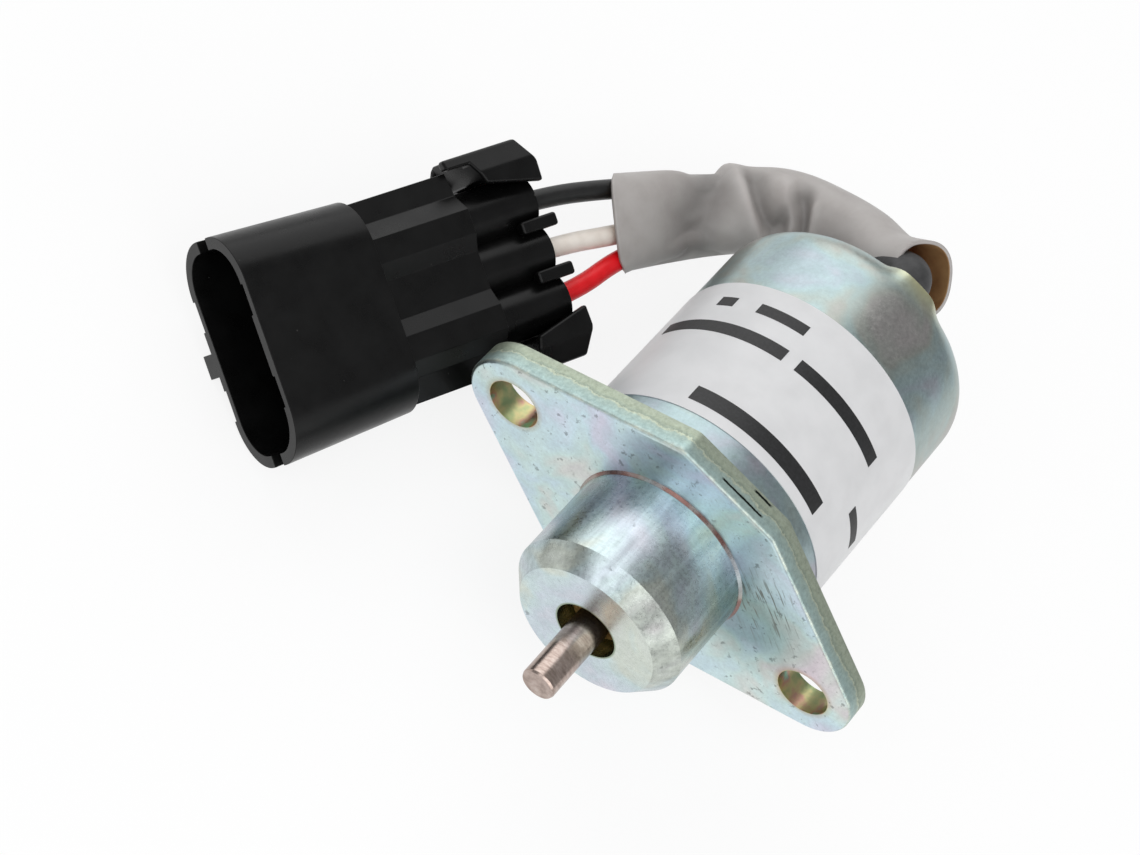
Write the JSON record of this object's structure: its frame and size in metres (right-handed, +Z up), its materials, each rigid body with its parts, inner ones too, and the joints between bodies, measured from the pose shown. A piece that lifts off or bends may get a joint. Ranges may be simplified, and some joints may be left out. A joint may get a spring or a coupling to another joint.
{
  "type": "fuel shutoff solenoid",
  "caption": "Plated can solenoid with a flange, a nose that guides a sprung push pin, and leads in a grey sleeve to a black sealed plug.",
  "frame": {"origin": "centre of the flange's mounting face, on the plunger axis", "axes": "+Y along the plunger axis from the nose to the leads, +X along the line of the two flange holes, +Z up from the surface it lies on"},
  "size_m": [0.1029, 0.0927, 0.0396],
  "materials": {
    "plated_steel": "zinc plate with iridescent chromate",
    "bronze": "sintered, oiled",
    "stainless": "ground",
    "label_foil": "semi-gloss film",
    "black_rubber": "moulded",
    "lead_black": "soft PVC",
    "lead_white": "soft PVC",
    "lead_red": "soft PVC",
    "grey_sleeve": "soft PVC",
    "connector_black": "moulded nylon",
    "bare_steel": "machined",
    "brass": "drawn",
    "spring_steel": "drawn wire",
    "bobbin_nylon": "glass-filled nylon",
    "enamelled_copper": "wound wire",
    "winding_tape": "film",
    "cap_plastic": "glass-filled nylon",
    "seal_rubber": "silicone",
    "tinned_brass": "tin plate"
  },
  "bodies": {
    "solenoid": {"case_can": "plated_steel", "mounting_flange": "plated_steel", "nose_piece": "plated_steel", "guide_bush": "bronze", "label": "label_foil", "lead_grommet": "black_rubber", "lead_black": "lead_black", "lead_white": "lead_white", "lead_red": "lead_red", "lead_sleeve": "grey_sleeve", "connector_housing": "connector_black", "secondary_lock": "connector_black", "front_pole_plate": "bare_steel", "rear_pole_plate": "bare_steel", "guide_tube": "brass", "return_spring": "spring_steel", "backstop_core": "bare_steel", "stop_washer": "black_rubber", "coil_bobbin": "bobbin_nylon", "pull_in_winding": "enamelled_copper", "hold_in_winding": "enamelled_copper", "winding_tape": "winding_tape", "rear_cap": "cap_plastic", "cable_seal_black": "seal_rubber", "cable_seal_white": "seal_rubber", "cable_seal_red": "seal_rubber", "terminal_black": "tinned_brass", "terminal_white": "tinned_brass", "terminal_red": "tinned_brass"},
    "plunger_and_pin": {"plunger": "bare_steel", "push_pin": "stainless"}
  },
  "joints": [
    {"name": "plunger_slide", "type": "slide", "parent": "solenoid", "child": "plunger_and_pin", "axis": [0, 1, 0], "range_m": [0, 0.0085], "stiffness_N_per_m": 850, "springref_m": -0.018, "deforming": ["return_spring"]}
  ]
}
